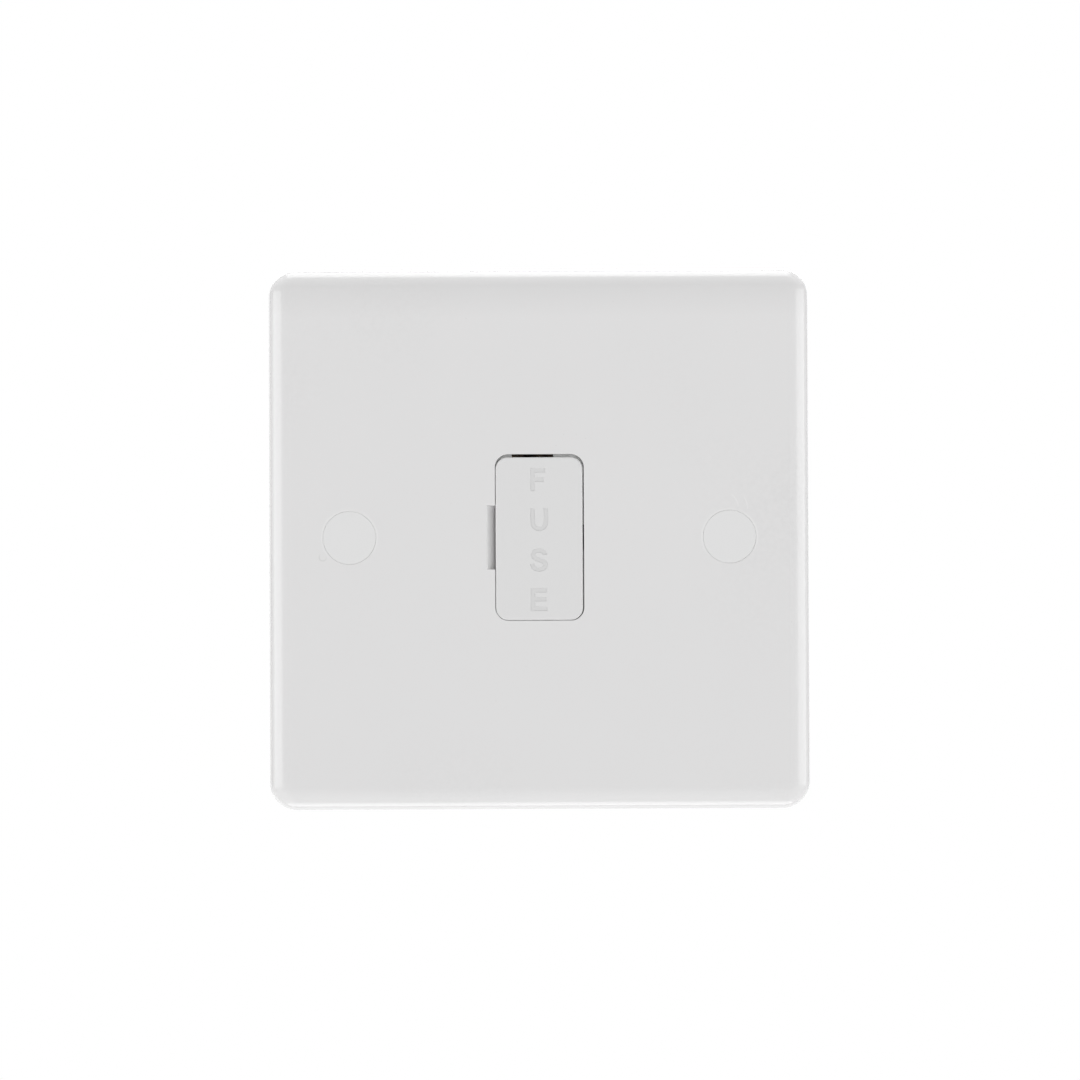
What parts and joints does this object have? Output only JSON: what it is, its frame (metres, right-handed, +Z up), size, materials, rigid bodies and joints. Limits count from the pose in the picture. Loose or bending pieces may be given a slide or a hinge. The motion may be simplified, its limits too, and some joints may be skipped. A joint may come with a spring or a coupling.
{
  "type": "fused spur unit",
  "caption": "Square moulded wall plate with a pull-out fuse carrier, capped fixing screws and rear screw terminals, which feeds a fixed appliance through a cartridge fuse.",
  "frame": {"origin": "centre of the plate's rim, in the plane of the wall", "axes": "+X right and +Z up as seen from the front, +Y into the wall"},
  "size_m": [0.086, 0.03, 0.086],
  "materials": {
    "white_plate": "gloss moulded",
    "white_carrier": "satin moulded",
    "white_cover": "matt moulded",
    "zinc_steel": "zinc plated",
    "terminal_steel": "plated",
    "brass_block": "machined",
    "brass_strip": "pressed",
    "spring_bronze": "pressed",
    "fuse_ceramic": "unglazed ceramic",
    "fuse_nickel": "nickel plated",
    "fuse_wire": "drawn wire"
  },
  "bodies": {
    "housing": {"front_plate": "white_plate", "rear_cover": "white_cover", "cover_screws": "zinc_steel", "fixing_screws": "zinc_steel", "live_load_clip": "spring_bronze", "live_supply_clip": "spring_bronze", "neutral_link": "brass_strip", "earth_link": "brass_strip", "neutral_load_terminal": "brass_block", "live_load_terminal": "brass_block", "earth_load_terminal": "brass_block", "neutral_supply_terminal": "brass_block", "live_supply_terminal": "brass_block", "earth_supply_terminal": "brass_block"},
    "carrier": {"fuse_carrier": "white_carrier", "fuse_tube": "fuse_ceramic", "fuse_cap_upper": "fuse_nickel", "fuse_cap_lower": "fuse_nickel", "fuse_element": "fuse_wire"},
    "left_cap": {"left_screw_cap": "white_plate"},
    "right_cap": {"right_screw_cap": "white_plate"},
    "neutral_load_clamp": {"neutral_load_screw": "terminal_steel"},
    "live_load_clamp": {"live_load_screw": "terminal_steel"},
    "earth_load_clamp": {"earth_load_screw": "terminal_steel"},
    "neutral_supply_clamp": {"neutral_supply_screw": "terminal_steel"},
    "live_supply_clamp": {"live_supply_screw": "terminal_steel"},
    "earth_supply_clamp": {"earth_supply_screw": "terminal_steel"}
  },
  "joints": [
    {"name": "carrier_pull", "type": "slide", "parent": "housing", "child": "carrier", "axis": [0, -1, 0], "range_m": [0, 0.024]},
    {"name": "left_cap_pull", "type": "slide", "parent": "housing", "child": "left_cap", "axis": [0, -1, 0], "range_m": [0, 0.008]},
    {"name": "right_cap_pull", "type": "slide", "parent": "housing", "child": "right_cap", "axis": [0, -1, 0], "range_m": [0, 0.008]},
    {"name": "neutral_load_screw_drive", "type": "slide", "parent": "housing", "child": "neutral_load_clamp", "axis": [0, -1, 0], "range_m": [0, 0.0042]},
    {"name": "live_load_screw_drive", "type": "slide", "parent": "housing", "child": "live_load_clamp", "axis": [0, -1, 0], "range_m": [0, 0.0042]},
    {"name": "earth_load_screw_drive", "type": "slide", "parent": "housing", "child": "earth_load_clamp", "axis": [0, -1, 0], "range_m": [0, 0.0042]},
    {"name": "neutral_supply_screw_drive", "type": "slide", "parent": "housing", "child": "neutral_supply_clamp", "axis": [0, -1, 0], "range_m": [0, 0.0042]},
    {"name": "live_supply_screw_drive", "type": "slide", "parent": "housing", "child": "live_supply_clamp", "axis": [0, -1, 0], "range_m": [0, 0.0042]},
    {"name": "earth_supply_screw_drive", "type": "slide", "parent": "housing", "child": "earth_supply_clamp", "axis": [0, -1, 0], "range_m": [0, 0.0042]}
  ]
}
